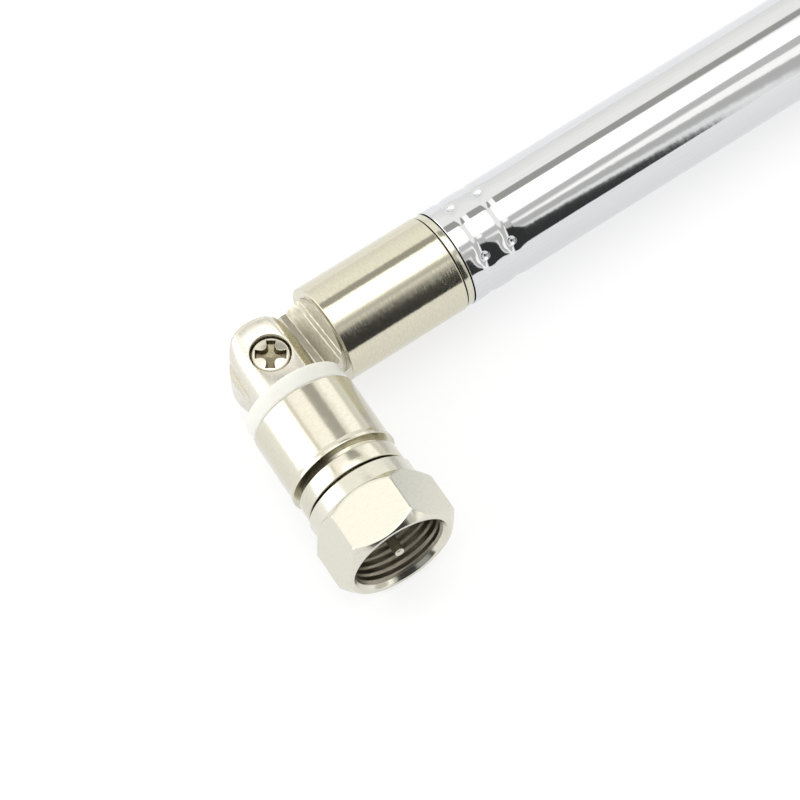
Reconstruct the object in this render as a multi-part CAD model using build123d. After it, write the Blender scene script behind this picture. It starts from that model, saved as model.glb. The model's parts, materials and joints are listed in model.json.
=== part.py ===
from build123d import *
import math
import os

# One rod of a pair of rabbit ears: a telescopic whip with an elbow and an F-type screw plug.
#
# Frame, in millimetres. Origin: centre of the coupling nut's front face, on the plug's axis.
# +X points out of the plug, the way a mating socket leaves it. +Z is the elbow's hinge axis,
# out of the screw head. The rod points close to +Y at rest, collapsed to its shortest.

os.makedirs("parts", exist_ok=True)

# ---- Plug: lengths along the axis, front to back ----
NUT_LENGTH = 7.30
NUT_GAP = 0.35
COLLAR_LENGTH = 1.75
GROOVE_LENGTH = 0.70
BARREL_LENGTH = 7.10
RING_LENGTH = 1.85

# ---- Plug: diameters, given as radii ----
HEX_ACROSS_FLATS = 11.0
HEX_BROKEN_EDGE = 0.10
NUT_COLLAR_R = 5.40
THREAD_MINOR_R = 4.34
THREAD_MOUTH_R = 4.95
COLLAR_R = 5.20
GROOVE_R = 4.60
BARREL_R = 5.35
BARREL_LIP_R = 5.45
BARREL_BORE_R = 4.45
RING_R = 5.25
POST_FLANGE_R = 4.20
POST_R = 3.30
POST_BORE_R = 2.60
PIN_R = 0.50
PIN_ROOT_R = 0.80
STUD_FLANGE_R = 3.75
STUD_R = 2.20

# ---- Plug: depths of the inner steps, from the front face ----
THREAD_START = 0.70
HEX_LENGTH = 5.70
FLANGE_FRONT = 5.00
FLANGE_BACK = 5.90
INSULATOR_FRONT = 5.20
NUT_LIP_FRONT = 6.10
NUT_LIP_R = 3.45
NUT_TURN = 14.3
POST_END = 11.40
PIN_TIP = 0.25
PIN_END = 15.20
STUD_FRONT = 12.10
SPIGOT_FRONT = 12.60
STUD_FLANGE_FRONT = 17.60

# ---- Elbow ----
EAR_SWEEP = 4.05
EAR_BAR_R = 3.60
EAR_END_R = 4.10
EAR_TOP = 2.75
EAR_EDGE = 0.50
LAP_GAP = 0.04
COUNTERBORE_R = 1.98
COUNTERBORE_FLOOR = 0.85
SCREW_HEAD_R = 1.70
SCREW_HEAD_TOP = 2.30
SCREW_HEAD_BASE = 1.25
SCREW_R = 1.25
SCREW_CLEARANCE = 0.10
CROSS_TURN = 58.0
ARM_R = 3.95
ARM_FLOOR = 2.90
WASHER_R = 2.40
WASHER_THICKNESS = 0.40
REST_ANGLE = 93.6

# ---- Swivel: distances along the rod from the hinge axis ----
SLEEVE_START = 5.75
SLEEVE_END = 18.90
SLEEVE_R = 5.00
SWIVEL_WASHER_START = 18.95
SWIVEL_WASHER_END = 19.80
SWIVEL_WASHER_R = 4.90
RIVET_START = 12.90
RIVET_HEAD_START = 24.60
RIVET_HEAD_END = 25.80
RIVET_R = 1.50
RIVET_HEAD_R = 3.00
PLUG_SEAT = 23.90
PLUG_END = 27.50
PLUG_SEAT_R = 3.30

# ---- Telescopic sections ----
SECTION_COUNT = 7
TUBE_START = 19.85
TUBE_END = 185.0
TUBE_R = 5.00
TUBE_STEP = 0.55
TUBE_WALL = 0.30
GROOVE_PLACES = (21.90, 24.90)
GROOVE_HALF = 0.50
GROOVE_DEPTH = 0.25
INNER_START = 29.0
FOOT_STEP = 1.2
TOP_STEP = 2.2
CRIMP_LENGTH = 1.5
BUSH_LENGTH = 8.0
SLIDE_GAP = 0.06
CAP_R = 4.20
CAP_LENGTH = 7.0
CAP_SOCKET = 4.0

# ---- Places worked out from the driving dimensions ----
HEX_CORNER_R = HEX_ACROSS_FLATS / math.sqrt(3)
COLLAR_FRONT = NUT_LENGTH + NUT_GAP
GROOVE_FRONT = COLLAR_FRONT + COLLAR_LENGTH
BARREL_FRONT = GROOVE_FRONT + GROOVE_LENGTH
RING_FRONT = BARREL_FRONT + BARREL_LENGTH
RING_BACK = RING_FRONT + RING_LENGTH
PIVOT_X = -(RING_BACK + EAR_SWEEP)
HINGE = Location((PIVOT_X, 0, 0))
ROD = Location((PIVOT_X, 0, 0), (0, 0, REST_ANGLE))


def turned(*profile):
    """Solid of revolution about X from (x, radius) points."""
    outline = make_face(Polyline(*[(x, radius, 0) for x, radius in profile], close=True))
    return revolve(outline, Axis.X, 360)


def ring(start, end, outer, inner):
    """Plain ring about X between two places."""
    return turned((start, inner), (end, inner), (end, outer), (start, outer))


def post_about_z(radius, bottom, top):
    """Upright cylinder on the hinge axis, between two heights."""
    return Pos(0, 0, bottom) * extrude(Circle(radius), top - bottom)


# ---------------------------------------------------------------- plug

def coupling_nut():
    """Hexagonal nut: chamfered corners, a round collar and an inward lip at its back."""
    hexagon = RegularPolygon(HEX_CORNER_R, 6)
    prism = Plane.YZ.offset(-NUT_LENGTH) * extrude(hexagon, NUT_LENGTH)
    face_r = HEX_ACROSS_FLATS / 2 - HEX_BROKEN_EDGE
    chamfer = HEX_CORNER_R - face_r
    envelope = turned(
        (0, 0), (0, face_r), (-chamfer, HEX_CORNER_R), (chamfer - HEX_LENGTH, HEX_CORNER_R),
        (-HEX_LENGTH, NUT_COLLAR_R), (-NUT_LENGTH, NUT_COLLAR_R), (-NUT_LENGTH, 0),
    )
    bore = turned(
        (0.1, 0), (0.1, THREAD_MOUTH_R), (0, THREAD_MOUTH_R), (-THREAD_START, THREAD_MINOR_R),
        (-NUT_LIP_FRONT, THREAD_MINOR_R), (-NUT_LIP_FRONT, NUT_LIP_R),
        (-NUT_LENGTH - 0.1, NUT_LIP_R), (-NUT_LENGTH - 0.1, 0),
    )
    return Rot(NUT_TURN, 0, 0) * (prism & envelope - bore)


def plug_post():
    """Flanged tube that the nut turns on; its tail is pressed into the barrel."""
    return turned(
        (-FLANGE_FRONT, POST_BORE_R), (-FLANGE_FRONT, POST_FLANGE_R), (-FLANGE_BACK, POST_FLANGE_R),
        (-FLANGE_BACK, POST_R), (-POST_END, POST_R), (-POST_END, POST_BORE_R),
    )


def rear_collar():
    """Narrow ring behind the nut, its edges broken."""
    edge = 0.12
    return turned(
        (-COLLAR_FRONT, POST_R), (-COLLAR_FRONT, COLLAR_R - edge), (-COLLAR_FRONT - edge, COLLAR_R),
        (-GROOVE_FRONT + edge, COLLAR_R), (-GROOVE_FRONT, COLLAR_R - edge), (-GROOVE_FRONT, POST_R),
    )


def plug_barrel():
    """Barrel with a flared front edge and a spigot that forms the floor of the groove."""
    lip = 0.45
    return turned(
        (-GROOVE_FRONT, POST_R), (-GROOVE_FRONT, GROOVE_R), (-BARREL_FRONT, GROOVE_R),
        (-BARREL_FRONT, BARREL_LIP_R - 0.1), (-BARREL_FRONT - 0.1, BARREL_LIP_R),
        (-BARREL_FRONT - lip, BARREL_R), (-RING_FRONT, BARREL_R), (-RING_FRONT, BARREL_BORE_R),
        (-POST_END, BARREL_BORE_R), (-POST_END, POST_R),
    )


def pin_insulator():
    return ring(-POST_END, -INSULATOR_FRONT, POST_BORE_R, PIN_ROOT_R)


def centre_pin():
    """Contact pin with a chamfered tip; its thicker root is pressed into the stud."""
    tip = 0.2
    return turned(
        (-PIN_TIP, 0), (-PIN_TIP, PIN_R - tip), (-PIN_TIP - tip, PIN_R), (-INSULATOR_FRONT, PIN_R),
        (-INSULATOR_FRONT, PIN_ROOT_R), (-PIN_END, PIN_ROOT_R), (-PIN_END, 0),
    )


def insulator_ring():
    """White plastic ring with a rounded edge and a spigot inside the barrel."""
    body = turned(
        (-SPIGOT_FRONT, STUD_R), (-SPIGOT_FRONT, BARREL_BORE_R), (-RING_FRONT, BARREL_BORE_R),
        (-RING_FRONT, RING_R), (-RING_BACK, RING_R), (-RING_BACK, STUD_FLANGE_R),
        (-STUD_FLANGE_FRONT, STUD_FLANGE_R), (-STUD_FLANGE_FRONT, STUD_R),
    )
    rim = body.edges().filter_by(GeomType.CIRCLE).filter_by(lambda e: abs(e.radius - RING_R) < 0.01)
    return fillet(rim.sort_by(Axis.X)[0], 0.6)


def stud_clip():
    """Press-on ring that keeps the stud in the insulator."""
    return ring(-SPIGOT_FRONT, -STUD_FRONT, 3.60, STUD_R)


def ear_blank():
    """Upper half of a round bar along X, flattened on top and rounded about the hinge axis."""
    plan = Circle(EAR_END_R) + Pos(EAR_SWEEP / 2, 0) * Rectangle(EAR_SWEEP, 2 * EAR_END_R)
    bar = turned((-2 * EAR_END_R, 0), (-2 * EAR_END_R, EAR_BAR_R), (EAR_SWEEP, EAR_BAR_R), (EAR_SWEEP, 0))
    blank = bar & Pos(0, 0, LAP_GAP) * extrude(plan, EAR_TOP - LAP_GAP)
    rim = blank.faces().sort_by(Axis.Z)[-1].edges().filter_by(lambda e: e.center().X < EAR_SWEEP - 0.01)
    return fillet(rim, EAR_EDGE)


def elbow_stud():
    """Stud through the insulator with the upper ear of the elbow on its end."""
    ear = ear_blank()
    ear -= post_about_z(COUNTERBORE_R, COUNTERBORE_FLOOR, EAR_TOP + 1)
    ear -= post_about_z(SCREW_R + SCREW_CLEARANCE, -1, EAR_TOP)
    ear -= post_about_z(WASHER_R + SCREW_CLEARANCE, -1, WASHER_THICKNESS / 2)
    shaft = turned(
        (-RING_BACK, 0), (-RING_BACK, STUD_FLANGE_R), (-STUD_FLANGE_FRONT, STUD_FLANGE_R),
        (-STUD_FLANGE_FRONT, STUD_R), (-STUD_FRONT, STUD_R), (-STUD_FRONT, PIN_ROOT_R), (-PIN_END, PIN_ROOT_R),
        (-PIN_END, 0),
    )
    return HINGE * ear + shaft


# ---------------------------------------------------------------- elbow, rod side

def elbow_arm():
    """Lower ear, stepped milled wall, neck, and the shank inside the sleeve."""
    wall_foot = EAR_END_R + 0.20
    neck = turned((-ARM_R, 0), (-ARM_R, ARM_R), (SLEEVE_END, ARM_R), (SLEEVE_END, 0))
    wall = [
        (wall_foot, -LAP_GAP), (wall_foot + 0.85, 1.30), (wall_foot + 0.95, 1.34),
        (wall_foot + 1.15, 1.80), (wall_foot + 1.25, 1.84), (wall_foot + 1.35, ARM_R + 1),
    ]
    cut_outline = [(-2 * ARM_R, -LAP_GAP), *wall, (-2 * ARM_R, ARM_R + 1)]
    cut_face = make_face(Polyline(*[(x, 0, z) for x, z in cut_outline], close=True))
    body = neck - extrude(cut_face, ARM_R + 1, dir=(0, 1, 0), both=True)
    body &= post_about_z(ARM_R, -2 * ARM_R, 2 * ARM_R) + Pos(SLEEVE_END, 0, 0) * Box(
        2 * SLEEVE_END, 3 * ARM_R, 3 * ARM_R
    )
    body -= Pos(0, 0, -ARM_FLOOR - ARM_R) * Box(2 * wall_foot, 3 * ARM_R, 2 * ARM_R)
    body -= post_about_z(SCREW_R, -ARM_R, ARM_R)
    body -= post_about_z(WASHER_R + SCREW_CLEARANCE, -WASHER_THICKNESS / 2, ARM_R)
    body -= turned((RIVET_START, 0), (RIVET_START, RIVET_R), (SLEEVE_END + 1, RIVET_R), (SLEEVE_END + 1, 0))
    return ROD * body


def swivel_sleeve():
    """Nickel sleeve over the arm's shank, with broken edges."""
    edge = 0.12
    return ROD * turned(
        (SLEEVE_START, ARM_R), (SLEEVE_START, SLEEVE_R - edge), (SLEEVE_START + edge, SLEEVE_R),
        (SLEEVE_END - edge, SLEEVE_R), (SLEEVE_END, SLEEVE_R - edge), (SLEEVE_END, ARM_R),
    )


def hinge_screw():
    """Pan-head screw with a cross recess, threaded into the lower ear."""
    head = post_about_z(SCREW_HEAD_R, SCREW_HEAD_BASE, SCREW_HEAD_TOP)
    head = fillet(head.edges().sort_by(Axis.Z)[-1], 0.45)
    recess_depth = 0.75
    for angle in (CROSS_TURN, CROSS_TURN + 90):
        head -= Pos(0, 0, SCREW_HEAD_TOP) * Rot(0, 0, angle) * Box(2.5, 0.62, 2 * recess_depth)
    shank = post_about_z(SCREW_R, -ARM_FLOOR, SCREW_HEAD_BASE)
    return HINGE * (head + shank)


def lock_washer():
    """Split washer under the screw head."""
    washer = post_about_z(SCREW_HEAD_R - 0.05, COUNTERBORE_FLOOR, SCREW_HEAD_BASE)
    washer -= post_about_z(SCREW_R, 0, EAR_TOP)
    washer -= Pos(1.5, 0, 1) * Box(1.6, 0.3, 2)
    return HINGE * washer


def friction_washer():
    """Bronze washer recessed into both halves of the elbow."""
    washer = post_about_z(WASHER_R, -WASHER_THICKNESS / 2, WASHER_THICKNESS / 2)
    washer -= post_about_z(SCREW_R, -1, 1)
    return HINGE * washer


# ---------------------------------------------------------------- swivel

def swivel_washer():
    return ROD * ring(SWIVEL_WASHER_START, SWIVEL_WASHER_END, SWIVEL_WASHER_R, RIVET_R + 0.1)


def swivel_rivet():
    """Axle pressed into the arm; its head holds the base plug."""
    return ROD * turned(
        (RIVET_START, 0), (RIVET_START, RIVET_R), (RIVET_HEAD_START, RIVET_R),
        (RIVET_HEAD_START, RIVET_HEAD_R), (RIVET_HEAD_END, RIVET_HEAD_R - 0.4), (RIVET_HEAD_END, 0),
    )


def swivel_spring():
    """Wave washer between the plug's seat and the rivet's head."""
    return ROD * ring(PLUG_SEAT, RIVET_HEAD_START, RIVET_HEAD_R, RIVET_R + 0.1)


def grooved(start, end, radius):
    """Profile points along a surface that carries the rolled grooves."""
    points = [(start, radius)]
    for place in GROOVE_PLACES:
        points.append((place - GROOVE_HALF, radius))
        points.append((place - GROOVE_HALF / 3, radius - GROOVE_DEPTH))
        points.append((place + GROOVE_HALF / 3, radius - GROOVE_DEPTH))
        points.append((place + GROOVE_HALF, radius))
    points.append((end, radius))
    return points


def base_plug():
    """Plug in the tube's foot, held by the two rolled grooves."""
    outside = grooved(TUBE_START, PLUG_END, TUBE_R - TUBE_WALL)
    bore_r = RIVET_R + 0.1
    return ROD * turned(
        *outside, (PLUG_END, PLUG_SEAT_R), (PLUG_SEAT, PLUG_SEAT_R), (PLUG_SEAT, bore_r), (TUBE_START, bore_r)
    )


# ---------------------------------------------------------------- telescopic sections

def section_radius(number):
    return TUBE_R - TUBE_STEP * (number - 1)


def section_start(number):
    return INNER_START + FOOT_STEP * (number - 2)


def section_end(number):
    return TUBE_END + TOP_STEP * (number - 1)


def crimped_end(end, radius, neck_r):
    """Profile of a tube's rolled-in mouth: outside, then down to the neck, then back inside."""
    inner = radius - TUBE_WALL
    return [
        (end - 0.6, radius), (end, neck_r + 0.12), (end, neck_r),
        (end - CRIMP_LENGTH + 0.3, neck_r), (end - CRIMP_LENGTH, inner),
    ]


def outer_tube():
    """Chrome outer tube with rolled grooves at its foot and a rolled-in mouth."""
    neck_r = section_radius(2) + SLIDE_GAP
    outside = grooved(TUBE_START, TUBE_END - 0.6, TUBE_R)
    inside = grooved(TUBE_START, TUBE_END - CRIMP_LENGTH, TUBE_R - TUBE_WALL)
    mouth = [(TUBE_END, neck_r + 0.12), (TUBE_END, neck_r), (TUBE_END - CRIMP_LENGTH + 0.3, neck_r)]
    return ROD * turned(*outside, *mouth, *reversed(inside))


def sliding_tube(number):
    """One of the tubes between the outer tube and the tip rod."""
    radius = section_radius(number)
    neck_r = section_radius(number + 1) + SLIDE_GAP
    start = section_start(number)
    mouth = crimped_end(section_end(number), radius, neck_r)
    return ROD * turned((start, radius), *mouth, (start, radius - TUBE_WALL))


def tip_rod():
    radius = section_radius(SECTION_COUNT)
    start = section_start(SECTION_COUNT)
    end = section_end(SECTION_COUNT) + CAP_SOCKET
    return ROD * turned((start, 0), (start, radius), (end, radius), (end, 0))


def friction_bush(number):
    """Split spring bush on the foot of a sliding section."""
    inner = section_radius(number)
    outer = section_radius(number - 1) - TUBE_WALL - SLIDE_GAP
    start = section_start(number)
    slit = Pos(start + BUSH_LENGTH / 2, inner, 0) * Box(BUSH_LENGTH + 1, 2 * inner, 0.5)
    return ROD * (ring(start, start + BUSH_LENGTH, outer, inner) - slit)


def tip_cap():
    """Turned cap with a waist groove and a domed end, pressed onto the tip rod."""
    start = section_end(SECTION_COUNT)
    end = start + CAP_LENGTH
    socket_r = section_radius(SECTION_COUNT)
    body = turned(
        (start, socket_r), (start, CAP_R - 0.3), (start + 0.3, CAP_R), (start + 1.6, CAP_R),
        (start + 1.9, CAP_R - 0.35), (start + 2.5, CAP_R - 0.35), (start + 2.8, CAP_R),
        (end, CAP_R), (end, 0), (start + CAP_SOCKET, 0), (start + CAP_SOCKET, socket_r),
    )
    rim = body.edges().filter_by(lambda e: e.center().X > end - 0.01 and e.length > 2 * CAP_R)
    return ROD * fillet(rim, 1.6)


def parts():
    """Every piece by its node name."""
    pieces = {
        "coupling_nut": coupling_nut(),
        "plug_post": plug_post(),
        "rear_collar": rear_collar(),
        "plug_barrel": plug_barrel(),
        "pin_insulator": pin_insulator(),
        "centre_pin": centre_pin(),
        "insulator_ring": insulator_ring(),
        "stud_clip": stud_clip(),
        "elbow_stud": elbow_stud(),
        "elbow_arm": elbow_arm(),
        "swivel_sleeve": swivel_sleeve(),
        "hinge_screw": hinge_screw(),
        "lock_washer": lock_washer(),
        "friction_washer": friction_washer(),
        "swivel_washer": swivel_washer(),
        "swivel_rivet": swivel_rivet(),
        "swivel_spring": swivel_spring(),
        "base_plug": base_plug(),
        "tube_1": outer_tube(),
    }
    for number in range(2, SECTION_COUNT):
        pieces[f"tube_{number}"] = sliding_tube(number)
    pieces["tip_rod"] = tip_rod()
    for number in range(2, SECTION_COUNT + 1):
        pieces[f"friction_bush_{number}"] = friction_bush(number)
    pieces["tip_cap"] = tip_cap()
    return pieces


for name, solid in parts().items():
    export_step(solid, f"parts/{name}.step")
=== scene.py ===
import json
import math

import bmesh
import bpy
import numpy as np
from mathutils import Matrix, Vector


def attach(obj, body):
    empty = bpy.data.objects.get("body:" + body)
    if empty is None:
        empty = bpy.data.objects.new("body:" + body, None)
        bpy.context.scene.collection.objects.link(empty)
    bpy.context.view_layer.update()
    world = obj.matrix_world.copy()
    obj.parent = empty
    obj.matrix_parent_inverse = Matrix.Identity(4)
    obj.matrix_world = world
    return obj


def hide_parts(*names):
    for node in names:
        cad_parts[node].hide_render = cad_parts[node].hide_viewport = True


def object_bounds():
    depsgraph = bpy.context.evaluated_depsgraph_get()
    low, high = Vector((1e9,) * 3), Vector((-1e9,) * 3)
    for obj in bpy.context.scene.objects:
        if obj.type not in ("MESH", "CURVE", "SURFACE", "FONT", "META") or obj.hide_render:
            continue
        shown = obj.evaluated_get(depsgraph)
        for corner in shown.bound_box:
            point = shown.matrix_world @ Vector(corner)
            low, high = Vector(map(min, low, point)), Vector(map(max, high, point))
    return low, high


# One rod of a pair of rabbit ears: screw plug, elbow, swivel and telescopic sections.
# Lengths are in millimetres until filled_mesh turns them into metres. Named angles are in degrees,
# and the angles that functions pass to each other are in radians.
# Every mesh is built in the CAD frame, so each object sits at the origin.

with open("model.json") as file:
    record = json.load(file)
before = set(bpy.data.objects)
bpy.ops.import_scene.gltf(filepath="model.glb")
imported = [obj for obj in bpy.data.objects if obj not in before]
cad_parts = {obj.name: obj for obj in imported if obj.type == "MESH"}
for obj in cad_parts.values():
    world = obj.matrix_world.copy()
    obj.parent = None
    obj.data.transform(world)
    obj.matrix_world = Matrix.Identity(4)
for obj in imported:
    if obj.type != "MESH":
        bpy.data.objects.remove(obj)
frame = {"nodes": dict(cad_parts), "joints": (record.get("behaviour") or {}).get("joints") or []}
cad_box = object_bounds()
MM = 0.001
JOINTS = {joint["name"]: joint for joint in frame["joints"]}
SECTIONS = 1 + sum(name.startswith("slide_") for name in JOINTS)

# ---- Camera: where it is, seen from the hinge, and how long its lens is ----
CAMERA_AZIMUTH = 60.49
CAMERA_ELEVATION = 61.46
CAMERA_ROLL = -2.34
CAMERA_DISTANCE = 353.7
CAMERA_TARGET = (9.36, 8.24, 0.0)
CAMERA_LENS = 172.1

# ---- Mesh fineness ----
TURNED_STEPS = 224  # faces round a turned piece
FINE_STEPS = 360  # faces round a piece with detail on its sides
CORNER_STEPS = 4  # faces across a rounded corner
LEAST_CORNER = 4  # a turn smaller than this isn't rounded
CORNER_SHARE = 0.45  # the most of a side that one corner's rounding takes
SHARP_ANGLE = 32  # a crease from this angle up stays sharp
FLAT_WEIGHT = 90  # how strongly the larger faces set the shading
ON_AXIS = 1e-6  # a smaller radius counts as on the axis
MERGE_DISTANCE = 0.0001  # points closer than this become one

# ---- Sizes that two pieces share ----
BARREL_BORE_R = 4.45
STUD_SEAT_R = 3.75
STUD_SEAT_DEPTH = 0.40
TUBE_WALL = 0.30
NECK_GAP = 0.06  # between a tube's rolled-in mouth and the next section
NECK_LENGTH = 1.2
NECK_SLOPE = 0.3

# ---- Rolled grooves of the outer tube, and the dimples punched in them ----
GROOVES = (21.90, 24.90)  # their middles, along the rod from the hinge
GROOVE_DEPTH = 0.085
GROOVE_HALF = 0.75
DIMPLE_COUNT = 5  # in each groove
DIMPLE_FIRST = -46.5
DIMPLE_SKEW = -1.5  # how far each groove's dimples are turned past the last one's
DIMPLE_REACH = 2.5
DISH_DEPTH, DISH_R = 0.14, 0.76  # the metal drawn down round the punch
PUNCH_DEPTH, PUNCH_R = 0.18, 0.37  # the mark of the punch itself


# ---------------------------------------------------------------- geometry helpers

class Axis:
    """A line with two directions square to it: local points are (along, across u, across v)."""

    def __init__(self, origin, along, up):
        self.origin = Vector(origin)
        self.along = Vector(along).normalized()
        self.v = (Vector(up) - Vector(up).dot(self.along) * self.along).normalized()
        self.u = self.v.cross(self.along).normalized()

    def point(self, s, u, v):
        return self.origin + self.along * s + self.u * u + self.v * v

    def span(self, node):
        """Start, end, largest and smallest radius of a CAD node, measured along this line."""
        points = np.array([vertex.co for vertex in frame["nodes"][node].data.vertices]) / MM
        away = points - np.array(self.origin)
        along = away @ np.array(self.along)
        radius = np.linalg.norm(away - np.outer(along, self.along), axis=1)
        return along.min(), along.max(), radius.max(), radius.min()


HINGE_POINT = Vector(JOINTS["elbow_fold"]["pos_m"]) / MM
UP = Vector((0, 0, 1))
PLUG = Axis((0, 0, 0), (-1, 0, 0), UP)
ROD = Axis(HINGE_POINT, JOINTS["mast_swivel"]["axis"], UP)
HINGE = Axis(HINGE_POINT, UP, (0, 1, 0))
SIDE = Axis((0, 0, 0), (0, 1, 0), UP)


def bend(start, corner, end, t):
    """A point of the curve that rounds a corner off: start at t = 0, end at t = 1."""
    return start * (1 - t) ** 2 + corner * 2 * t * (1 - t) + end * t ** 2


def rounding(first, second, reach):
    """What rounds off the edge between two surfaces where they are within reach of each other."""
    near = max(reach - abs(first - second), 0.0) / reach
    return near * near * reach / 4


def plain_ring(start, end, inner, outer):
    """Outline of a ring with square corners."""
    return [(start, inner), (start, outer), (end, outer), (end, inner)]


def softened(outline, radius):
    """The closed outline with each off-axis corner rounded, as (along, radius) points in order.
    A corner may carry its own rounding as a third number."""
    count = len(outline)
    points = []
    for index, corner in enumerate(outline):
        here = Vector(corner[:2])
        before = Vector(outline[index - 1][:2]) - here
        after = Vector(outline[(index + 1) % count][:2]) - here
        size = corner[2] if len(corner) > 2 else radius
        turn = math.pi - before.angle(after)
        if here.y < ON_AXIS or size <= 0 or turn < math.radians(LEAST_CORNER):
            points.append(here)
            continue
        shortest = min(before.length, after.length)
        reach = min(size * math.tan(turn / 2), CORNER_SHARE * shortest)
        start = here + before.normalized() * reach
        end = here + after.normalized() * reach
        points += [bend(start, here, end, step / CORNER_STEPS) for step in range(CORNER_STEPS + 1)]
    return points


def filled_mesh(name, vertices, faces, uvs):
    """A mesh object at the origin, its faces turned outwards and smooth up to sharp creases."""
    mesh = bpy.data.meshes.new(name)
    mesh.from_pydata([Vector(vertex) * MM for vertex in vertices], [], faces)
    layer = mesh.uv_layers.new(name="turning")
    for polygon, corner_uvs in zip(mesh.polygons, uvs):
        for loop_index, uv in zip(polygon.loop_indices, corner_uvs):
            layer.data[loop_index].uv = uv
    mesh.validate()
    solid = bmesh.new()
    solid.from_mesh(mesh)
    bmesh.ops.remove_doubles(solid, verts=solid.verts, dist=MERGE_DISTANCE * MM)
    bmesh.ops.recalc_face_normals(solid, faces=solid.faces)
    solid.to_mesh(mesh)
    solid.free()
    piece = bpy.data.objects.new(name, mesh)
    bpy.context.scene.collection.objects.link(piece)
    mesh.shade_smooth()
    mesh.set_sharp_from_angle(angle=math.radians(SHARP_ANGLE))
    weighted = piece.modifiers.new("flat faces stay flat", "WEIGHTED_NORMAL")
    weighted.keep_sharp = True
    weighted.weight = FLAT_WEIGHT
    return piece


def shell(name, axis, rows, closed):
    """A surface through rows of (along, u, v) points; each row is one ring about the axis.
    closed joins the last row to the first; otherwise each end row is closed to a point.
    Its UVs are millimetres round and along the piece."""
    steps = len(rows[0])
    vertices = [axis.point(*point) for row in rows for point in row]
    girth = [math.hypot(*row[0][1:]) for row in rows]
    faces = []
    uvs = []
    last = len(rows) if closed else len(rows) - 1
    for i in range(last):
        j = (i + 1) % len(rows)
        for k in range(steps):
            m = (k + 1) % steps
            faces.append((i * steps + k, i * steps + m, j * steps + m, j * steps + k))
            ends = ((i, k, k), (i, m, k + 1), (j, m, k + 1), (j, k, k))
            width = max(girth[i], girth[j]) * 2 * math.pi / steps
            uvs.append([(turn * width, rows[row][column][0]) for row, column, turn in ends])
    if not closed:
        for i, flip in ((0, True), (len(rows) - 1, False)):
            centre = len(vertices)
            mean = np.mean(np.array(rows[i]), axis=0)
            vertices.append(axis.point(*mean))
            for k in range(steps):
                m = (k + 1) % steps
                ring = (i * steps + k, i * steps + m, centre)
                faces.append(tuple(reversed(ring)) if not flip else ring)
                width = girth[i] * 2 * math.pi / steps
                around = [(k * width, mean[0]), ((k + 1) * width, mean[0]), (k * width, mean[0])]
                uvs.append(list(reversed(around)) if not flip else around)
    return filled_mesh(name, vertices, faces, uvs)


def turn_angles(steps):
    """Angles from v towards u, once round from underneath."""
    return [math.pi + 2 * math.pi * k / steps for k in range(steps)]


def ring_through(points, angles):
    """One ring of (along, u, v) points from an (along, radius) point at each angle."""
    return [(s, r * math.sin(angle), r * math.cos(angle)) for (s, r), angle in zip(points, angles)]


def ring_row(s, radius, steps=TURNED_STEPS, bump=None):
    """One round ring, its seam underneath; bump(s, angle) is added to the radius."""
    angles = turn_angles(steps)
    return ring_through([(s, radius + (bump(s, angle) if bump else 0.0)) for angle in angles], angles)


def turned(name, axis, outline, edge=0.08, steps=TURNED_STEPS):
    """Solid of revolution of an outline that is listed as (along, radius) from its inner start
    outwards. An outline that touches the axis closes there; any other makes a ring."""
    points = softened(outline, edge)
    solid = min(point.y for point in points) < ON_AXIS
    if solid:
        points = [point for point in points if point.y > ON_AXIS]
    rows = [ring_row(point.x, point.y, steps) for point in points]
    return shell(name, axis, rows, closed=not solid)


def finish_piece(piece, body, material, slot, *nodes):
    """The piece rides on a body, stands for CAD nodes and takes a material."""
    piece.data.materials.append(material)
    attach(piece, body)
    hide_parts(*nodes)


def shaded_faces(piece, axis, material, chosen):
    """Gives a further material to the faces that are chosen by (along, u, v) of their centre."""
    piece.data.materials.append(material)
    for polygon in piece.data.polygons:
        away = polygon.center / MM - axis.origin
        if chosen(away.dot(axis.along), away.dot(axis.u), away.dot(axis.v)):
            polygon.material_index = len(piece.data.materials) - 1


# ---------------------------------------------------------------- material helpers

class Nodes:
    """Short calls for building a node tree."""

    def __init__(self, tree):
        self.tree = tree
        tree.nodes.clear()

    def add(self, kind, inputs=None, **settings):
        node = self.tree.nodes.new(kind)
        for name, value in settings.items():
            setattr(node, name, value)
        for name, value in (inputs or {}).items():
            if isinstance(value, bpy.types.NodeSocket):
                self.tree.links.new(value, node.inputs[name])
            else:
                node.inputs[name].default_value = value
        return node

    def maths(self, operation, first, second=0.0, third=0.0):
        node = self.add("ShaderNodeMath", {0: first, 1: second, 2: third}, operation=operation)
        return node.outputs[0]

    def ranged(self, value, low, high, to_low=0.0, to_high=1.0, smooth=False):
        kind = "SMOOTHSTEP" if smooth else "LINEAR"
        wanted = {"Value": value, "From Min": low, "From Max": high}
        wanted.update({"To Min": to_low, "To Max": to_high})
        return self.add("ShaderNodeMapRange", wanted, interpolation_type=kind).outputs[0]

    def mixed(self, share, first, second):
        node = self.add("ShaderNodeMix", data_type="RGBA")
        for name, value in (("Factor", share), ("A", first), ("B", second)):
            socket = next(s for s in node.inputs if s.name == name and s.enabled)
            if isinstance(value, bpy.types.NodeSocket):
                self.tree.links.new(value, socket)
            else:
                socket.default_value = value
        return next(s for s in node.outputs if s.enabled)

    def object_place(self):
        return self.add("ShaderNodeTexCoord").outputs["Object"]


def colour(red, green, blue):
    return (red, green, blue, 1.0)


# How often tool marks come, per millimetre round and along the piece
MARKS_TURNED = (1.8, 6.5, 1.0)
MARKS_DRAWN = (4.5, 0.12, 1.0)
CLOUDS_PER_MM = 0.8
MICROMETRE = 0.001 * MM
# The stretch of a noise's values over which a tint or a roughness changes
TINT_STRETCH = (0.35, 0.7)
ROUGH_STRETCH = (0.3, 0.7)
ROUGH_LEAST, ROUGH_MOST = 0.8, 1.25
# Painted shade: the dark tint that the shaded side of a groove is mixed towards
PAINTED_SHADE_TINT = (0.045, 0.039, 0.029)


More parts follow.
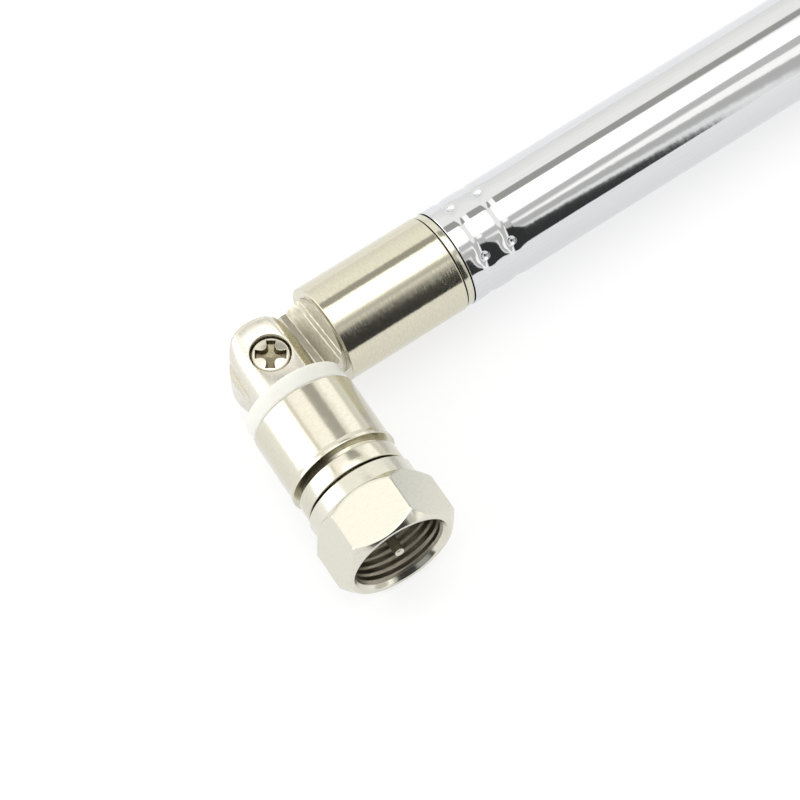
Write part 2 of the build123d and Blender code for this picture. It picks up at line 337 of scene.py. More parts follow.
def metal_noises(n, drawn, wrapped):
    """The fine marks of the tool and the slow clouds under them."""
    if wrapped:
        place = n.add("ShaderNodeUVMap", uv_map="turning").outputs[0]
    else:
        to_mm = {"Vector": n.object_place(), "Scale": (1 / MM, 1 / MM, 1 / MM)}
        place = n.add("ShaderNodeMapping", to_mm).outputs[0]
    stretch = MARKS_DRAWN if drawn else MARKS_TURNED
    marks = n.add("ShaderNodeMapping", {"Vector": place, "Scale": stretch}).outputs[0]
    fine = n.add("ShaderNodeTexNoise", {"Vector": marks, "Scale": 1.0, "Detail": 3.0, "Roughness": 0.6})
    slow = {"Vector": place, "Scale": CLOUDS_PER_MM, "Detail": 2.0, "Roughness": 0.5}
    cloud = n.add("ShaderNodeTexNoise", slow)
    return fine.outputs[0], cloud.outputs[0]


def metal(name, tint, shade, roughness, grain, wave, drawn=False, wrapped=True, painted_shade_side=None):
    """Plated metal with fine tool marks, round the piece or, if drawn, along it. tint and shade are
    its colours between and in the marks. grain and wave are the heights in micrometres of the
    marks and of the slow unevenness under them. A wrapped material follows the mm grid laid round
    a turned piece, any other the object's own axes. painted_shade_side is the two places along Y
    between which a painted shade on one side fades out to the full tint."""
    material = bpy.data.materials.new(name)
    material.use_nodes = True
    n = Nodes(material.node_tree)
    fine, cloud = metal_noises(n, drawn, wrapped)
    base = n.mixed(n.ranged(fine, *TINT_STRETCH), colour(*tint), colour(*shade))
    # Painted shade: towards -Y the colour is mixed into the dark tint
    if painted_shade_side:
        across = n.add("ShaderNodeSeparateXYZ", {0: n.object_place()}).outputs[1]
        clear = n.ranged(across, painted_shade_side[0] * MM, painted_shade_side[1] * MM, smooth=True)
        base = n.mixed(clear, colour(*PAINTED_SHADE_TINT), base)
    rough = n.ranged(fine, *ROUGH_STRETCH, roughness * ROUGH_LEAST, roughness * ROUGH_MOST)
    slow = n.maths("MULTIPLY", cloud, wave)
    height = n.maths("MULTIPLY_ADD", fine, grain, slow)
    bump = n.add("ShaderNodeBump", {"Height": height, "Strength": 1.0, "Distance": MICROMETRE})
    surface = n.add(
        "ShaderNodeBsdfPrincipled",
        {"Base Color": base, "Metallic": 1.0, "Roughness": rough, "Normal": bump.outputs[0]},
    )
    n.add("ShaderNodeOutputMaterial", {"Surface": surface.outputs[0]})
    return material


def plastic(name, tint, shade):
    """Milky moulded plastic: soft light inside, a half-matt skin with faint flow marks."""
    clouds_per_m, pores_per_m, pore_depth = 420.0, 5200.0, 0.02
    least_rough, most_rough = 0.32, 0.46
    material = bpy.data.materials.new(name)
    material.use_nodes = True
    n = Nodes(material.node_tree)
    place = n.object_place()
    cloud = n.add("ShaderNodeTexNoise", {"Vector": place, "Scale": clouds_per_m, "Detail": 4.0})
    pores = n.add("ShaderNodeTexNoise", {"Vector": place, "Scale": pores_per_m, "Detail": 2.0})
    base = n.mixed(n.ranged(cloud.outputs[0], *TINT_STRETCH), colour(*tint), colour(*shade))
    skin = {"Height": pores.outputs[0], "Strength": 0.25, "Distance": pore_depth * MM}
    bump = n.add("ShaderNodeBump", skin)
    surface = n.add(
        "ShaderNodeBsdfPrincipled",
        {
            "Base Color": base,
            "Roughness": n.ranged(cloud.outputs[0], *ROUGH_STRETCH, least_rough, most_rough),
            "Subsurface Weight": 0.6,
            "Subsurface Radius": (1.0, 0.95, 0.8),
            "Subsurface Scale": 0.8 * MM,
            "Normal": bump.outputs[0],
        },
    )
    n.add("ShaderNodeOutputMaterial", {"Surface": surface.outputs[0]})
    return material


# Name, tint, shade, roughness, grain and wave of each metal
NICKEL = metal("nickel_turned", (0.67, 0.648, 0.553), (0.615, 0.59, 0.488), 0.14, 3.5, 9.0)
NICKEL_WARM = metal("nickel_warm", (0.675, 0.645, 0.525), (0.61, 0.58, 0.465), 0.11, 4.5, 6.0)
NICKEL_FLAT = metal("nickel_tumbled", (0.70, 0.688, 0.60), (0.665, 0.65, 0.56), 0.15, 1.2, 8.0)
NICKEL_SATIN = metal("nickel_satin", (0.72, 0.70, 0.63), (0.66, 0.63, 0.55), 0.27, 3.0, 8.0)
# Milled marks and roughness are the metal's own; its tint, lighter than the other nickel, is painted
# light
NICKEL_MILLED_PAINTED_LIGHT = metal("nickel_milled_painted_light", (0.84, 0.81, 0.72), (0.66, 0.63, 0.53), 0.66, 14.0, 6.0)
# Painted shade: a dark nickel for the shade in the nut's bore, on the pin's shaft and on the elbow's lap
# floor
NICKEL_PAINTED_SHADE = metal("nickel_shaded", (0.37, 0.345, 0.28), (0.26, 0.24, 0.19), 0.32, 5.0, 6.0)
# Painted light and shade: a tint lighter than the plain nickel on the groove's +Y side, painted shade
# towards -Y
NICKEL_GROOVE = metal(
    "nickel_groove", (0.92, 0.90, 0.80), (0.88, 0.85, 0.74), 0.22, 4.0, 6.0, painted_shade_side=(-2.2, 0.6)
)
# Painted shade: a dark olive nickel for the shade on the low part of the ear's +Y side
NICKEL_OLIVE_PAINTED_SHADE = metal("nickel_olive_painted_shade", (0.46, 0.43, 0.31), (0.36, 0.33, 0.24), 0.26, 4.0, 6.0)
CHROME = metal("chrome_plate", (0.68, 0.69, 0.71), (0.65, 0.66, 0.68), 0.06, 0.7, 2.5, drawn=True)
STEEL = metal("screw_steel", (0.72, 0.69, 0.60), (0.66, 0.62, 0.53), 0.16, 1.5, 6.0)
# Painted shade: darker steel for the shade in the screw's cross recess
STEEL_PAINTED_SHADE = metal("screw_recess", (0.28, 0.25, 0.17), (0.21, 0.185, 0.12), 0.28, 2.0, 6.0)
BRASS = metal("plain_brass", (0.78, 0.60, 0.30), (0.70, 0.52, 0.24), 0.22, 2.0, 5.0, wrapped=False)
SPRING_STEEL = metal(
    "spring_steel", (0.62, 0.60, 0.56), (0.50, 0.48, 0.44), 0.20, 2.0, 5.0, wrapped=False
)
WHITE = plastic("milky_plastic", (0.74, 0.74, 0.70), (0.70, 0.70, 0.66))


# ---------------------------------------------------------------- plug

def coupling_nut():
    """Hexagonal nut with chamfered corners, a countersunk mouth and a cut thread inside."""
    _, end, corner_r, lip_r = PLUG.span("coupling_nut")
    sides, corner_flat = 6, 0.025
    half_side = 180 / sides
    flat_r = corner_r * math.cos(math.radians(half_side))
    turn, chamfer = math.radians(14.3), math.tan(math.radians(43))
    face_r, collar_r, hex_end, lip_start, bevel = 5.42, 5.40, 5.70, 6.10, 0.10
    inch, threads_per_inch = 25.4, 32
    pitch, rings_per_pitch = inch / threads_per_inch, 16
    minor_r, major_r, flank, land = 4.46, 4.60, 1.45, 0.22
    mouth_r, mouth_depth, thread_start, thread_end = 5.02, 0.70, 0.03, 5.2
    shade_start, shade_r = 0.45, major_r + 0.05

    def hexagon(angle):
        """Distance to the hexagon's side, its corners a little rounded."""
        off = (math.degrees(angle - turn) + half_side) % (2 * half_side) - half_side
        side = flat_r / math.cos(math.radians(off))
        return min(side, corner_r - corner_flat)

    def column(angle):
        """From the mouth over the outside to the back, with each edge broken, and in to the bore."""
        side = hexagon(angle)
        front = max(side - face_r, 0.02) * chamfer
        back = hex_end - max(side - collar_r, 0.02)
        mouth = [(0.0, mouth_r + 0.04), (0.0, face_r - 0.03), (0.02, face_r)]
        flat_start = [(front - 0.03, side - 0.05), (front, side - 0.012), (front + 0.05, side)]
        flat = [(front + 0.3, side), (back - 0.3, side)]
        flat_end = [(back - 0.06, side), (back, side - 0.015), (back + 0.05, side - 0.05)]
        collar = [(hex_end, collar_r + 0.01), (hex_end + 0.04, collar_r), (end - 0.12, collar_r)]
        rim = [(end - 0.03, collar_r - 0.03), (end, collar_r - 0.12), (end, lip_r + bevel)]
        lip = [(end - bevel, lip_r), (lip_start + bevel, lip_r), (lip_start, lip_r + bevel)]
        bore = [(lip_start, major_r), (thread_end + 0.1, major_r)]
        return mouth + flat_start + flat + flat_end + collar + rim + lip + bore

    def thread(s, angle):
        """Radius of the bore: a thread with flat crests and roots, cut back by the mouth's cone."""
        phase = (s / pitch + angle / (2 * math.pi)) % 1.0
        tooth = min(max(abs(phase - 0.5) * 2 * flank - land, 0.0), 1.0)
        depth = minor_r + (major_r - minor_r) * tooth
        cone = mouth_r - (mouth_r - minor_r) * s / mouth_depth
        return max(depth, cone, minor_r)

    angles = turn_angles(FINE_STEPS)
    columns = [column(angle) for angle in angles]
    rows = [ring_through(points, angles) for points in zip(*columns)]
    for s in np.arange(thread_end, thread_start, -pitch / rings_per_pitch):
        rows.append(ring_through([(s, thread(s, angle)) for angle in angles], angles))
    nut = shell("coupling_nut_visual", PLUG, rows, closed=True)
    finish_piece(nut, "nut", NICKEL_FLAT, "nickel", "coupling_nut")

    def in_bore(s, u, v):
        return math.hypot(u, v) < shade_r and shade_start < s < lip_start + bevel

    # The bore behind the mouth is painted with shade.
    shaded_faces(nut, PLUG, NICKEL_PAINTED_SHADE, in_bore)


def plug_post():
    """Flanged tube that the nut turns on."""
    start, end, outer, inner = PLUG.span("plug_post")
    flange, tube_r = 0.9, 3.3
    outline = [
        (start, inner), (start, outer), (start + flange, outer), (start + flange, tube_r),
        (end, tube_r), (end, inner),
    ]
    post = turned("plug_post_visual", PLUG, outline, 0.1)
    finish_piece(post, "plug", NICKEL, "nickel", "plug_post")


def rear_collar():
    """Narrow ring between the two dark grooves."""
    start, end, outer, inner = PLUG.span("rear_collar")
    collar = turned("rear_collar_visual", PLUG, plain_ring(start, end, inner, outer), 0.14)
    finish_piece(collar, "plug", NICKEL, "nickel", "rear_collar")


def plug_barrel():
    """Barrel with a flared front edge, behind a groove with painted shade on one side and painted light
    on the other.
    """
    start, end, lip_r, inner = PLUG.span("plug_barrel")
    groove, groove_r, flare, pocket = 0.70, 4.35, 0.10, 2.0
    lip, slope = 0.30, 0.65
    barrel_r, front = lip_r - flare, start + groove
    outline = [
        (start, inner), (start, groove_r), (front, groove_r, 0.05), (front, lip_r, 0.06),
        (front + lip, lip_r, 0.25), (front + slope, barrel_r, 0.8), (end, barrel_r, 0.12),
        (end, BARREL_BORE_R), (end - pocket, BARREL_BORE_R), (end - pocket, inner),
    ]
    barrel = turned("plug_barrel_visual", PLUG, outline, 0.06)
    finish_piece(barrel, "plug", NICKEL, "nickel", "plug_barrel")

    def in_groove(s, u, v):
        """On the groove's floor, or on its walls below the rims."""
        return s < front - 0.02 and math.hypot(u, v) < lip_r - 0.3

    # The groove's floor and walls take the painted light and shade.
    shaded_faces(barrel, PLUG, NICKEL_GROOVE, in_groove)


def pin_insulator():
    """Dielectric that centres the pin in the post."""
    start, end, outer, inner = PLUG.span("pin_insulator")
    outline = [(start, inner), (start, outer, 0.15), (end, outer), (end, inner)]
    insulator = turned("pin_insulator_visual", PLUG, outline, 0.03)
    finish_piece(insulator, "plug", WHITE, "white_plastic", "pin_insulator")


def centre_pin():
    """Thin contact pin with a round tip, on a thicker root inside the dielectric; behind the tip it is
    painted with shade.
    """
    start, end, root_r, _ = PLUG.span("centre_pin")
    pin_r, tip_round, root_start, unshaded_tip = 0.5, 0.45, 5.2, 0.35
    outline = [
        (start, 0), (start, pin_r, tip_round), (root_start, pin_r, 0), (root_start, root_r, 0),
        (end, root_r), (end, 0),
    ]
    pin = turned("centre_pin_visual", PLUG, outline, 0.05, steps=64)
    finish_piece(pin, "plug", NICKEL, "nickel", "centre_pin")
    # The pin past its tip is painted with shade.
    shaded_faces(pin, PLUG, NICKEL_PAINTED_SHADE, lambda s, u, v: s > start + unshaded_tip)


def insulator_ring():
    """White ring behind the barrel, its spigot inside, with a seat for the elbow's stud."""
    start, end, outer, inner = PLUG.span("insulator_ring")
    _, barrel_end, _, _ = PLUG.span("plug_barrel")
    seat = end - STUD_SEAT_DEPTH
    outline = [
        (start, inner), (start, BARREL_BORE_R), (barrel_end, BARREL_BORE_R),
        (barrel_end, outer, 0.7), (end, outer, 0.15), (end, STUD_SEAT_R), (seat, STUD_SEAT_R),
        (seat, inner),
    ]
    ring = turned("insulator_ring_visual", PLUG, outline, 0.08)
    finish_piece(ring, "plug", WHITE, "white_plastic", "insulator_ring")


# ---------------------------------------------------------------- elbow

def elbow_ear():
    """Upper ear: half of a round bar, flattened on top, rounded about the hinge, counterbored."""
    bar_r, end_r, top, bottom, reach = 3.46, 4.10, 2.75, 0.04, 4.05
    bore_r, bore_floor, hole_r = 1.98, 0.85, 1.35
    side_in, side_down, end_in, end_down = 0.16, 0.30, 0.42, 0.40
    end_rounding, fall = 1.1, math.tan(math.radians(1.6))
    foot_edge, wall_rings, rim_steps = 0.06, 14, 6
    olive_start, olive_top = 2.1, top - 0.15

    def edge_r(angle, z):
        """Plan distance from the hinge axis to the ear's side."""
        across = abs(math.sin(angle)) + 1e-9
        forward = math.cos(angle)
        side = math.sqrt(bar_r ** 2 - z ** 2) / across
        if forward > 0:
            return min(side, reach / forward)
        return min(side, end_r) - rounding(side, end_r, end_rounding)

    def column(angle):
        """Ring of (height, radius) from under the ear, up its side, over the rim, into the bore.
        The rim is rounded more at the ear's end than along its sides, and the bore's edges are
        broken by a few hundredths."""
        endwise = max(0.0, -math.cos(angle)) ** 2
        shoulder = top - (side_down + end_down * endwise)
        points = [(bottom, hole_r), (bottom, edge_r(angle, bottom) - foot_edge)]
        wall = np.linspace(bottom + foot_edge, shoulder, wall_rings)
        points += [(z, edge_r(angle, z)) for z in wall]
        low_r, corner_r = edge_r(angle, shoulder), edge_r(angle, top)
        rim_r = max(corner_r - (side_in + end_in * endwise), bore_r + 0.10)
        for step in range(1, rim_steps + 1):
            t = step / rim_steps
            points.append((bend(shoulder, top, top, t), bend(low_r, corner_r, rim_r, t)))
        points += [(top, bore_r + 0.07), (top - 0.02, bore_r + 0.02), (top - 0.07, bore_r)]
        points += [(bore_floor + 0.05, bore_r), (bore_floor, bore_r - 0.05)]
        points += [(bore_floor, hole_r + 0.02), (bore_floor - 0.05, hole_r)]
        return points

    def leaned(x, z):
        """Height after the ear's top is tilted down towards the plug."""
        return z - fall * (x + end_r) * max(z - bore_floor, 0.0) / (top - bore_floor)

    angles = [2 * math.pi * k / FINE_STEPS for k in range(FINE_STEPS)]
    rows = []
    for ring in zip(*[column(angle) for angle in angles]):
        row = []
        for (z, radius), angle in zip(ring, angles):
            x, y = radius * math.cos(angle), radius * math.sin(angle)
            row.append((leaned(x, z), x, y))
        rows.append(row)
    ear = shell("elbow_ear_visual", HINGE, rows, closed=True)
    finish_piece(ear, "plug", NICKEL_SATIN, "nickel", "elbow_stud")
    # Painted shade on the low part of the ear's +Y side.
    shaded_faces(ear, SIDE, NICKEL_OLIVE_PAINTED_SHADE, lambda s, u, v: s > olive_start and v < olive_top)


def elbow_stud():
    """The ear's stud, through the white ring to its clip."""
    neck_r, overlap = 2.2, 0.02
    front, _, _, _ = PLUG.span("stud_clip")
    _, ring_back, _, _ = PLUG.span("insulator_ring")
    seat, back = ring_back - STUD_SEAT_DEPTH, ring_back + overlap
    outline = [
        (front, 0), (front, neck_r), (seat, neck_r), (seat, STUD_SEAT_R), (back, STUD_SEAT_R),
        (back, 0),
    ]
    stud = turned("elbow_stud_visual", PLUG, outline, 0.05, steps=96)
    finish_piece(stud, "plug", NICKEL, "nickel", "elbow_stud")


def elbow_arm():
    """Lower ear with a stepped milled wall, the neck and the shank inside the sleeve."""
    radius, lap, underside, foot = 3.95, -0.04, -2.90, 4.30
    first_step, second_step, wall_end, draft = 1.30, 1.80, 1.25, 0.10
    wall_top = second_step + 0.04
    crown = foot + wall_end + (radius - wall_top) * draft
    wall = [
        (foot, lap), (foot + 0.85, first_step), (foot + 0.95, first_step + 0.04),
        (foot + 1.15, second_step), (foot + wall_end, wall_top), (crown, radius),
    ]
    # The lap floor between these two places is painted with shade; narrow strips outside them stay
    # bright.
    lap_shade_start, lap_shade_end = 3.62, foot - 0.10
    just_under, least_width_squared, just_before = 0.9999, 1e-4, 0.001
    chord_steps, arc_steps, end_rings, wall_rings = 28, 100, 40, 6
    _, end, _, _ = ROD.span("elbow_arm")
    wall_s, wall_z = zip(*wall)

    def top(s):
        return float(np.interp(s, wall_s, wall_z, left=lap, right=radius))

    def section(s):
        """Ring of points: across the milled top, then round the bar underneath."""
        z_top = min(top(s), radius * just_under)
        half = math.acos(z_top / radius)
        width = math.sqrt(max(radius ** 2 - min(s, 0.0) ** 2, least_width_squared))
        ring = []
        for k in range(chord_steps):
            u = (2 * k / chord_steps - 1) * math.sin(half) * radius
            ring.append([u, z_top])
        for k in range(arc_steps):
            angle = half + (2 * math.pi - 2 * half) * k / arc_steps
            ring.append([radius * math.sin(angle), radius * math.cos(angle)])
        for point in ring:
            point[0] = min(max(point[0], -width), width)
            if s < foot:
                point[1] = max(point[1], underside)
        return [(s, u, v) for u, v in ring]

    stations = [-radius * math.cos(math.radians(t)) for t in np.linspace(1.0, 90.0, end_rings)]
    stations += [1.5, 3.0, lap_shade_start, lap_shade_end, foot - just_before, foot]
    for before, after in zip(wall_s, wall_s[1:]):
        stations += list(np.linspace(before, after, wall_rings + 1)[1:])
    stations += [crown + 0.05, crown + 0.3, end - 0.1, end]
    arm = shell("elbow_arm_visual", ROD, [section(s) for s in stations], closed=False)
    finish_piece(arm, "elbow", NICKEL_SATIN, "nickel", "elbow_arm")

    def on_lap(s, u, v):
        return lap_shade_start < s < lap_shade_end and v > lap - 0.01

    def on_wall(s, u, v):
        return lap_shade_end < s < crown and v > top(s) - 0.05

    # Painted shade on the lap floor.
    shaded_faces(arm, ROD, NICKEL_PAINTED_SHADE, on_lap)
    # The wall's milled metal has a tint lighter than the other nickel: painted light.
    shaded_faces(arm, ROD, NICKEL_MILLED_PAINTED_LIGHT, on_wall)


def hinge_screw():
    """Pan head with a cross recess, on a plain shank."""
    base, top, head_r, shank_r = 1.25, 2.46, 1.84, 1.25
    tip, _, _, _ = HINGE.span("hinge_screw")
    tip_bevel, head_bevel = 0.15, 0.04
    dome_drop, edge_drop, edge_start, rings = 0.14, 0.22, 0.90, 72
    cross = math.radians(58.0)
    arm_half, arm_flare, arm_reach, corner, wall = 0.27, 0.24, 1.48, 1.00, 0.12
    depth, rise = 0.85, 0.40

    def recess(x, y):
        """How far a point lies inside the cross: two flared arms joined by round corners."""
        a = abs(x * math.cos(cross) + y * math.sin(cross))
        b = abs(-x * math.sin(cross) + y * math.cos(cross))
        first, second = [
            min(arm_half + arm_flare * (along / arm_reach) ** 2 - across, arm_reach - along)
            for along, across in ((a, b), (b, a))
        ]
        return max(first, second) + rounding(first, second, corner)

    def surface(x, y):
        """Height of the head: a low dome less the tapered cross."""
        r = math.hypot(x, y) / head_r
        edge = max(0.0, (r - edge_start) / (1 - edge_start))
        dome = top - dome_drop * r ** 2 - edge_drop * edge ** 2
        cut = min(max(recess(x, y) / wall, 0.0), 1.0)
        cut = cut * cut * (3 - 2 * cut)
        return dome - (depth - rise * r) * cut

    sides = [
        (tip, shank_r - tip_bevel), (tip + tip_bevel, shank_r), (base, shank_r),
        (base, head_r - head_bevel), (base + head_bevel, head_r),
        (top - dome_drop - edge_drop, head_r),
    ]
    rows = [ring_row(s, r, FINE_STEPS) for s, r in sides]
    for k in range(1, rings):
        ring = ring_row(0, head_r * (1 - k / rings), FINE_STEPS)
        rows.append([(surface(x, y), x, y) for _, x, y in ring])
    screw = shell("hinge_screw_visual", HINGE, rows, closed=False)
    finish_piece(screw, "elbow", STEEL, "steel", "hinge_screw")

    def in_recess(s, u, v):
        return s > base + 0.1 and recess(u, v) > wall * 0.3

    # Painted shade in the cross recess.
    shaded_faces(screw, HINGE, STEEL_PAINTED_SHADE, in_recess)


# ---------------------------------------------------------------- swivel

def swivel_sleeve():
    """Satin cylinder that the elbow's shank and the rivet are fixed in."""
    start, end, outer, inner = ROD.span("swivel_sleeve")
    sleeve = turned("swivel_sleeve_visual", ROD, plain_ring(start, end, inner, outer), 0.10)
    finish_piece(sleeve, "elbow", NICKEL_WARM, "nickel", "swivel_sleeve")


def swivel_washer():
    """Thin washer between two dark joints."""
    front_joint, back_joint = 0.10, 0.06
    start, end, outer, inner = ROD.span("swivel_washer")
    outline = plain_ring(start + front_joint, end - back_joint, inner, outer)
    washer = turned("swivel_washer_visual", ROD, outline, 0.08)
    finish_piece(washer, "elbow", NICKEL, "nickel", "swivel_washer")


def swivel_spring():
    """Three-wave washer that loads the swivel, between the base plug's seat and the rivet's head."""
    start, end, outer, inner = ROD.span("swivel_spring")
    sheet, waves, clear, edge, steps = 0.15, 3, 0.03, 0.03, 180
    lift = (end - start - sheet) / 2 - clear
    middle = (start + end) / 2
    rows = []
    for corner in softened(plain_ring(-sheet / 2, sheet / 2, inner, outer - clear), edge):
        ring = ring_row(middle + corner.x, corner.y, steps)
        rows.append([(s + lift * math.cos(waves * math.atan2(u, v)), u, v) for s, u, v in ring])
    spring = shell("swivel_spring_visual", ROD, rows, closed=True)
    finish_piece(spring, "mast_1", STEEL, "steel", "swivel_spring")


# ---------------------------------------------------------------- telescopic sections

def dimple_places():
    """(along, angle) of each dimple; the second groove's are skewed a little."""
    places = []
    for index, groove in enumerate(GROOVES):
        for k in range(DIMPLE_COUNT):
            angle = DIMPLE_FIRST + 360 * k / DIMPLE_COUNT + DIMPLE_SKEW * index
            places.append((groove, math.radians(angle)))
    return places


def outer_tube():
    """Chrome tube held to its base plug by two rolled grooves, each with five punched dimples."""
    start, end, outer, _ = ROD.span("tube_1")
    inner, neck_r = outer - TUBE_WALL, ROD.span("tube_2")[2] + NECK_GAP
    detail_end, plain_start, relief_end = [GROOVES[-1] + past for past in (1.6, 2, 3)]
    ring_gap, inside_share = 0.05, 4
    dimples = dimple_places()

    def relief(s, angle):
        """How far the surface is sunk, as a negative number."""
        if s > relief_end:
            return 0.0
        sunk = 0.0
        for groove in GROOVES:
            off = abs(s - groove) / GROOVE_HALF
            if off < 1:
                sunk += GROOVE_DEPTH * math.cos(off * math.pi / 2) ** 2
        for place, where in dimples:
            around = math.remainder(angle - where, 2 * math.pi) * outer
            d = math.hypot(s - place, around)
            if d < DIMPLE_REACH:
                sunk += DISH_DEPTH * math.exp(-(d / DISH_R) ** 2)
                sunk += PUNCH_DEPTH * math.exp(-(d / PUNCH_R) ** 4)
        return -sunk

    detailed = np.arange(start + 0.15, detail_end, ring_gap)
    foot = [(start, outer - 0.05), (start + 0.05, outer)]
    outside = foot + [(s, outer) for s in detailed] + [(plain_start, outer), (end - 0.8, outer)]
    mouth = [(end - 0.5, outer - 0.03), (end - 0.2, outer - 0.16), (end - 0.03, neck_r + 0.2)]
    mouth += [(end, neck_r + 0.1), (end - 0.1, neck_r), (end - NECK_LENGTH, neck_r)]
    inside = [(end - NECK_LENGTH - NECK_SLOPE, inner), (plain_start, inner)]
    inside += [(s, inner) for s in reversed(detailed[::inside_share])] + [(start, inner)]
    rows = [ring_row(s, r, TURNED_STEPS + 64, relief) for s, r in outside + mouth + inside]
    tube = shell("tube_1_visual", ROD, rows, closed=True)
    finish_piece(tube, "mast_1", CHROME, "chrome", "tube_1")


def sliding_tubes():
    """Each tube's mouth is rolled in to the next section."""
    roll_length, lip = 0.6, 0.15
    for number in range(2, SECTIONS):
        start, end, outer, _ = ROD.span(f"tube_{number}")
        following = f"tube_{number + 1}" if number + 1 < SECTIONS else "tip_rod"
        inner, neck_r = outer - TUBE_WALL, ROD.span(following)[2] + NECK_GAP
        outline = [
            (start, inner), (start, outer), (end - roll_length, outer, 0.5),
            (end, neck_r + lip, 0.3), (end, neck_r), (end - NECK_LENGTH, neck_r),
            (end - NECK_LENGTH - NECK_SLOPE, inner),
        ]
        tube = turned(f"tube_{number}_visual", ROD, outline, 0.06)
        finish_piece(tube, f"mast_{number}", CHROME, "chrome", f"tube_{number}")


def tip_rod():
    """The thinnest section, a solid rod."""
    start, end, outer, _ = ROD.span("tip_rod")
    rod = turned("tip_rod_visual", ROD, plain_ring(start, end, 0, outer), 0.15)
    finish_piece(rod, f"mast_{SECTIONS}", CHROME, "chrome", "tip_rod")


def tip_cap():
    """Turned knob with a finger groove and a domed end."""
    start, end, cap_r, _ = ROD.span("tip_cap")
    _, _, rod_r, _ = ROD.span("tip_rod")
    groove_start, groove_end, slope, groove_depth, socket = 1.7, 2.7, 0.2, 0.4, 4.0
    groove_r = cap_r - groove_depth
    outline = [
        (start, rod_r), (start, cap_r, 0.3), (start + groove_start, cap_r, 0.15),
        (start + groove_start + slope, groove_r, 0.15), (start + groove_end - slope, groove_r, 0.15),
        (start + groove_end, cap_r, 0.15), (end, cap_r, 2.0), (end, 0.0),
        (start + socket, 0.0), (start + socket, rod_r),
    ]
    cap = turned("tip_cap_visual", ROD, outline, 0.1)
    finish_piece(cap, f"mast_{SECTIONS}", CHROME, "chrome", "tip_cap")


# ---------------------------------------------------------------- carried-over CAD pieces

def carried_over():
    """CAD pieces that stay as they are take a material each."""
    finishes = {"lock_washer": SPRING_STEEL, "stud_clip": SPRING_STEEL}
    for name, node in frame["nodes"].items():
        if not node.hide_render:
            node.data.materials.clear()
            node.data.materials.append(finishes.get(name, BRASS))


# ---------------------------------------------------------------- studio

def camera():
    """The camera, turned to its target and then rolled."""
    a, e = math.radians(CAMERA_AZIMUTH), math.radians(CAMERA_ELEVATION)
    back = Vector((math.sin(a) * math.cos(e), -math.cos(a) * math.cos(e), math.sin(e)))
    data = bpy.data.cameras.new("camera")
    data.lens = CAMERA_LENS
    data.sensor_width = 36.0
    data.clip_start, data.clip_end = 0.01, 20.0
    view = bpy.data.objects.new("camera", data)
    bpy.context.scene.collection.objects.link(view)
    target = HINGE_POINT + Vector(CAMERA_TARGET)
    roll = Matrix.Rotation(math.radians(CAMERA_ROLL), 3, "Z")
    turn = (-back).to_track_quat("-Z", "Y").to_matrix() @ roll
    view.matrix_world = Matrix.Translation((target + back * CAMERA_DISTANCE) * MM) @ turn.to_4x4()
    bpy.context.scene.camera = view


def floor():
    """White table top under the nut's lowest corner, with a light of its own."""
    half_m, gap = 3.0, 0.01
    height = cad_box[0].z - gap * MM
    corners = [(-half_m, -half_m), (half_m, -half_m), (half_m, half_m), (-half_m, half_m)]
    mesh = bpy.data.meshes.new("floor")
    mesh.from_pydata([(x, y, height) for x, y in corners], [], [(0, 1, 2, 3)])
    table = bpy.data.objects.new("floor", mesh)
    bpy.context.scene.collection.objects.link(table)
    material = bpy.data.materials.new("table_top")
    material.use_nodes = True
    n = Nodes(material.node_tree)
    surface = n.add(
        "ShaderNodeBsdfPrincipled",
        {
            "Base Color": colour(0.30, 0.303, 0.31),
            "Roughness": 0.6,
            "Specular IOR Level": 0.2,
            "Emission Color": colour(1.0, 1.0, 1.0),
            "Emission Strength": 0.70,
        },
    )
    n.add("ShaderNodeOutputMaterial", {"Surface": surface.outputs[0]})
    mesh.materials.append(material)


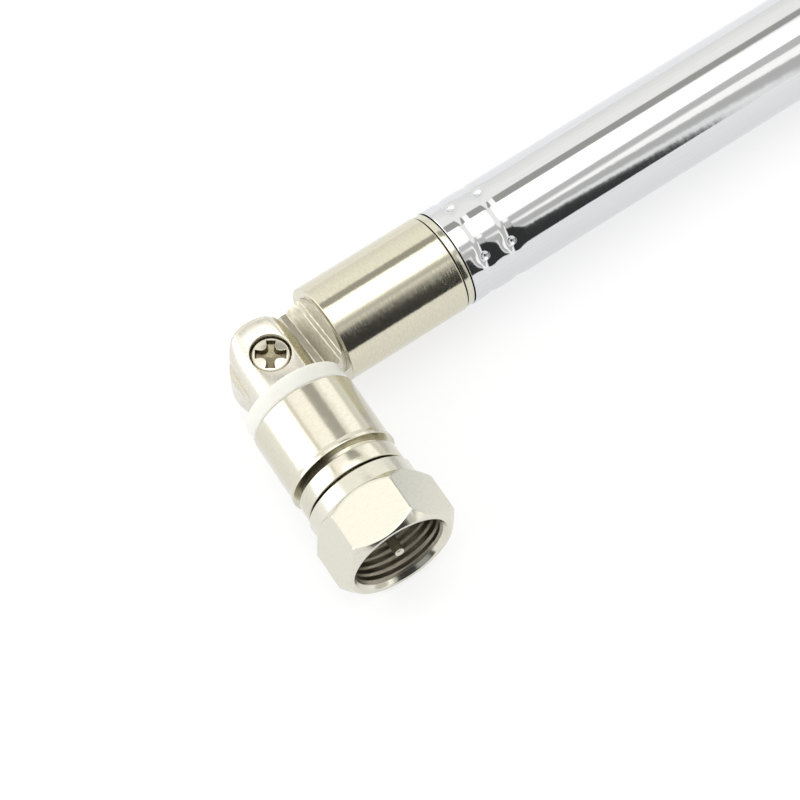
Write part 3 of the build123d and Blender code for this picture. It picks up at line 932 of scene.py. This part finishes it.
# The tent's panels in the order they are laid over each other: a tone, then the windows that
# bound it. A window is a part of the direction (x, y, z, or turn, which is degrees from +X
# towards +Y), its two ends, and how softly they fade. FAR leaves that end open.
FAR = 200.0
PANELS = [
    # towards +Y: a bright panel over a dimmer strip at the table
    ((1.50, 1.49, 1.44), ("turn", 100, 126, 3), ("z", 0.30, 0.66, 0.05)),
    ((0.92, 0.93, 0.88), ("turn", 100, 126, 3), ("z", 0.10, 0.29, 0.03)),
    # the bright side panel towards -Y, the cream one above it, and a thin frame
    ((2.3, 2.3, 2.25), ("y", -FAR, -0.50, 0.03), ("z", -FAR, 0.755, 0.02)),
    ((1.45, 1.40, 1.36), ("y", -0.40, 0.10, 0.04), ("z", 0.82, FAR, 0.02)),
    ((0.85, 0.82, 0.76), ("y", -0.47, -0.40, 0.02), ("z", 0.75, 0.83, 0.02)),
    # overhead
    ((2.1, 2.1, 2.05), ("x", -0.36, 0.27, 0.03), ("z", 0.885, FAR, 0.015), ("y", -0.2, FAR, 0.1)),
    # the dim streak beside it, between the tent's walls
    ((0.46, 0.45, 0.42), ("x", -0.60, -0.365, 0.015), ("y", 0.15, 0.54, 0.05), ("z", 0.735, 0.95, 0.02)),
    # tall panels towards +X: bright ones, dimmer gaps, and one dark opening with an upright edge
    ((0.70, 0.69, 0.67), ("turn", -FAR, 60, 3), ("z", -FAR, 0.895, 0.015), ("x", 0.20, FAR, 0.03)),
    ((1.40, 1.39, 1.33), ("turn", 31.6, 41, 0.7), ("z", -FAR, 0.80, 0.03)),
    ((0.62, 0.61, 0.59), ("turn", 27.0, 31.6, 0.4), ("z", -FAR, 0.72, 0.03)),
    ((1.12, 1.12, 1.08), ("turn", 24.9, 26.6, 0.3), ("z", -FAR, 0.60, 0.03)),
    ((0.045, 0.045, 0.045), ("turn", -60, 24.9, 0.3), ("z", -FAR, 0.73, 0.05)),
    ((0.42, 0.42, 0.43), ("turn", -60, -20, 2.0), ("z", 0.17, 0.73, 0.03)),
]
# The tent's own tone near the table and high up, and the z between which it changes
TENT_LOW, TENT_HIGH = (0.97, 0.96, 0.93), (1.20, 1.19, 1.13)
TENT_Z = (-0.1, 0.55)


def studio():
    """Soft light from a white tent, brighter overhead, with the panels above."""
    world = bpy.data.worlds.new("studio")
    bpy.context.scene.world = world
    world.use_nodes = True
    n = Nodes(world.node_tree)
    direction = n.add("ShaderNodeTexCoord").outputs["Generated"]
    parts = n.add("ShaderNodeSeparateXYZ", {0: direction}).outputs
    along = {"x": parts[0], "y": parts[1], "z": parts[2]}
    turn = n.maths("ARCTAN2", along["y"], along["x"])
    along["turn"] = n.maths("MULTIPLY", turn, 180.0 / math.pi)

    def window(axis, low, high, soft):
        rise = n.ranged(along[axis], low - soft, low + soft, smooth=True)
        fall = n.ranged(along[axis], high - soft, high + soft, 1.0, 0.0, smooth=True)
        return n.maths("MULTIPLY", rise, fall)

    light = n.mixed(n.ranged(along["z"], *TENT_Z), colour(*TENT_LOW), colour(*TENT_HIGH))
    for tone, *windows in PANELS:
        share = window(*windows[0])
        for further in windows[1:]:
            share = n.maths("MULTIPLY", share, window(*further))
        light = n.mixed(share, light, colour(*tone))
    background = n.add("ShaderNodeBackground", {"Color": light, "Strength": 1.0})
    n.add("ShaderNodeOutputWorld", {"Surface": background.outputs[0]})
    bpy.context.scene.view_settings.view_transform = "Standard"


# ---------------------------------------------------------------- the whole scene

coupling_nut()
plug_post()
rear_collar()
plug_barrel()
pin_insulator()
centre_pin()
insulator_ring()
elbow_ear()
elbow_stud()
elbow_arm()
hinge_screw()
swivel_sleeve()
swivel_washer()
swivel_spring()
outer_tube()
sliding_tubes()
tip_rod()
tip_cap()
carried_over()
camera()
floor()
studio()
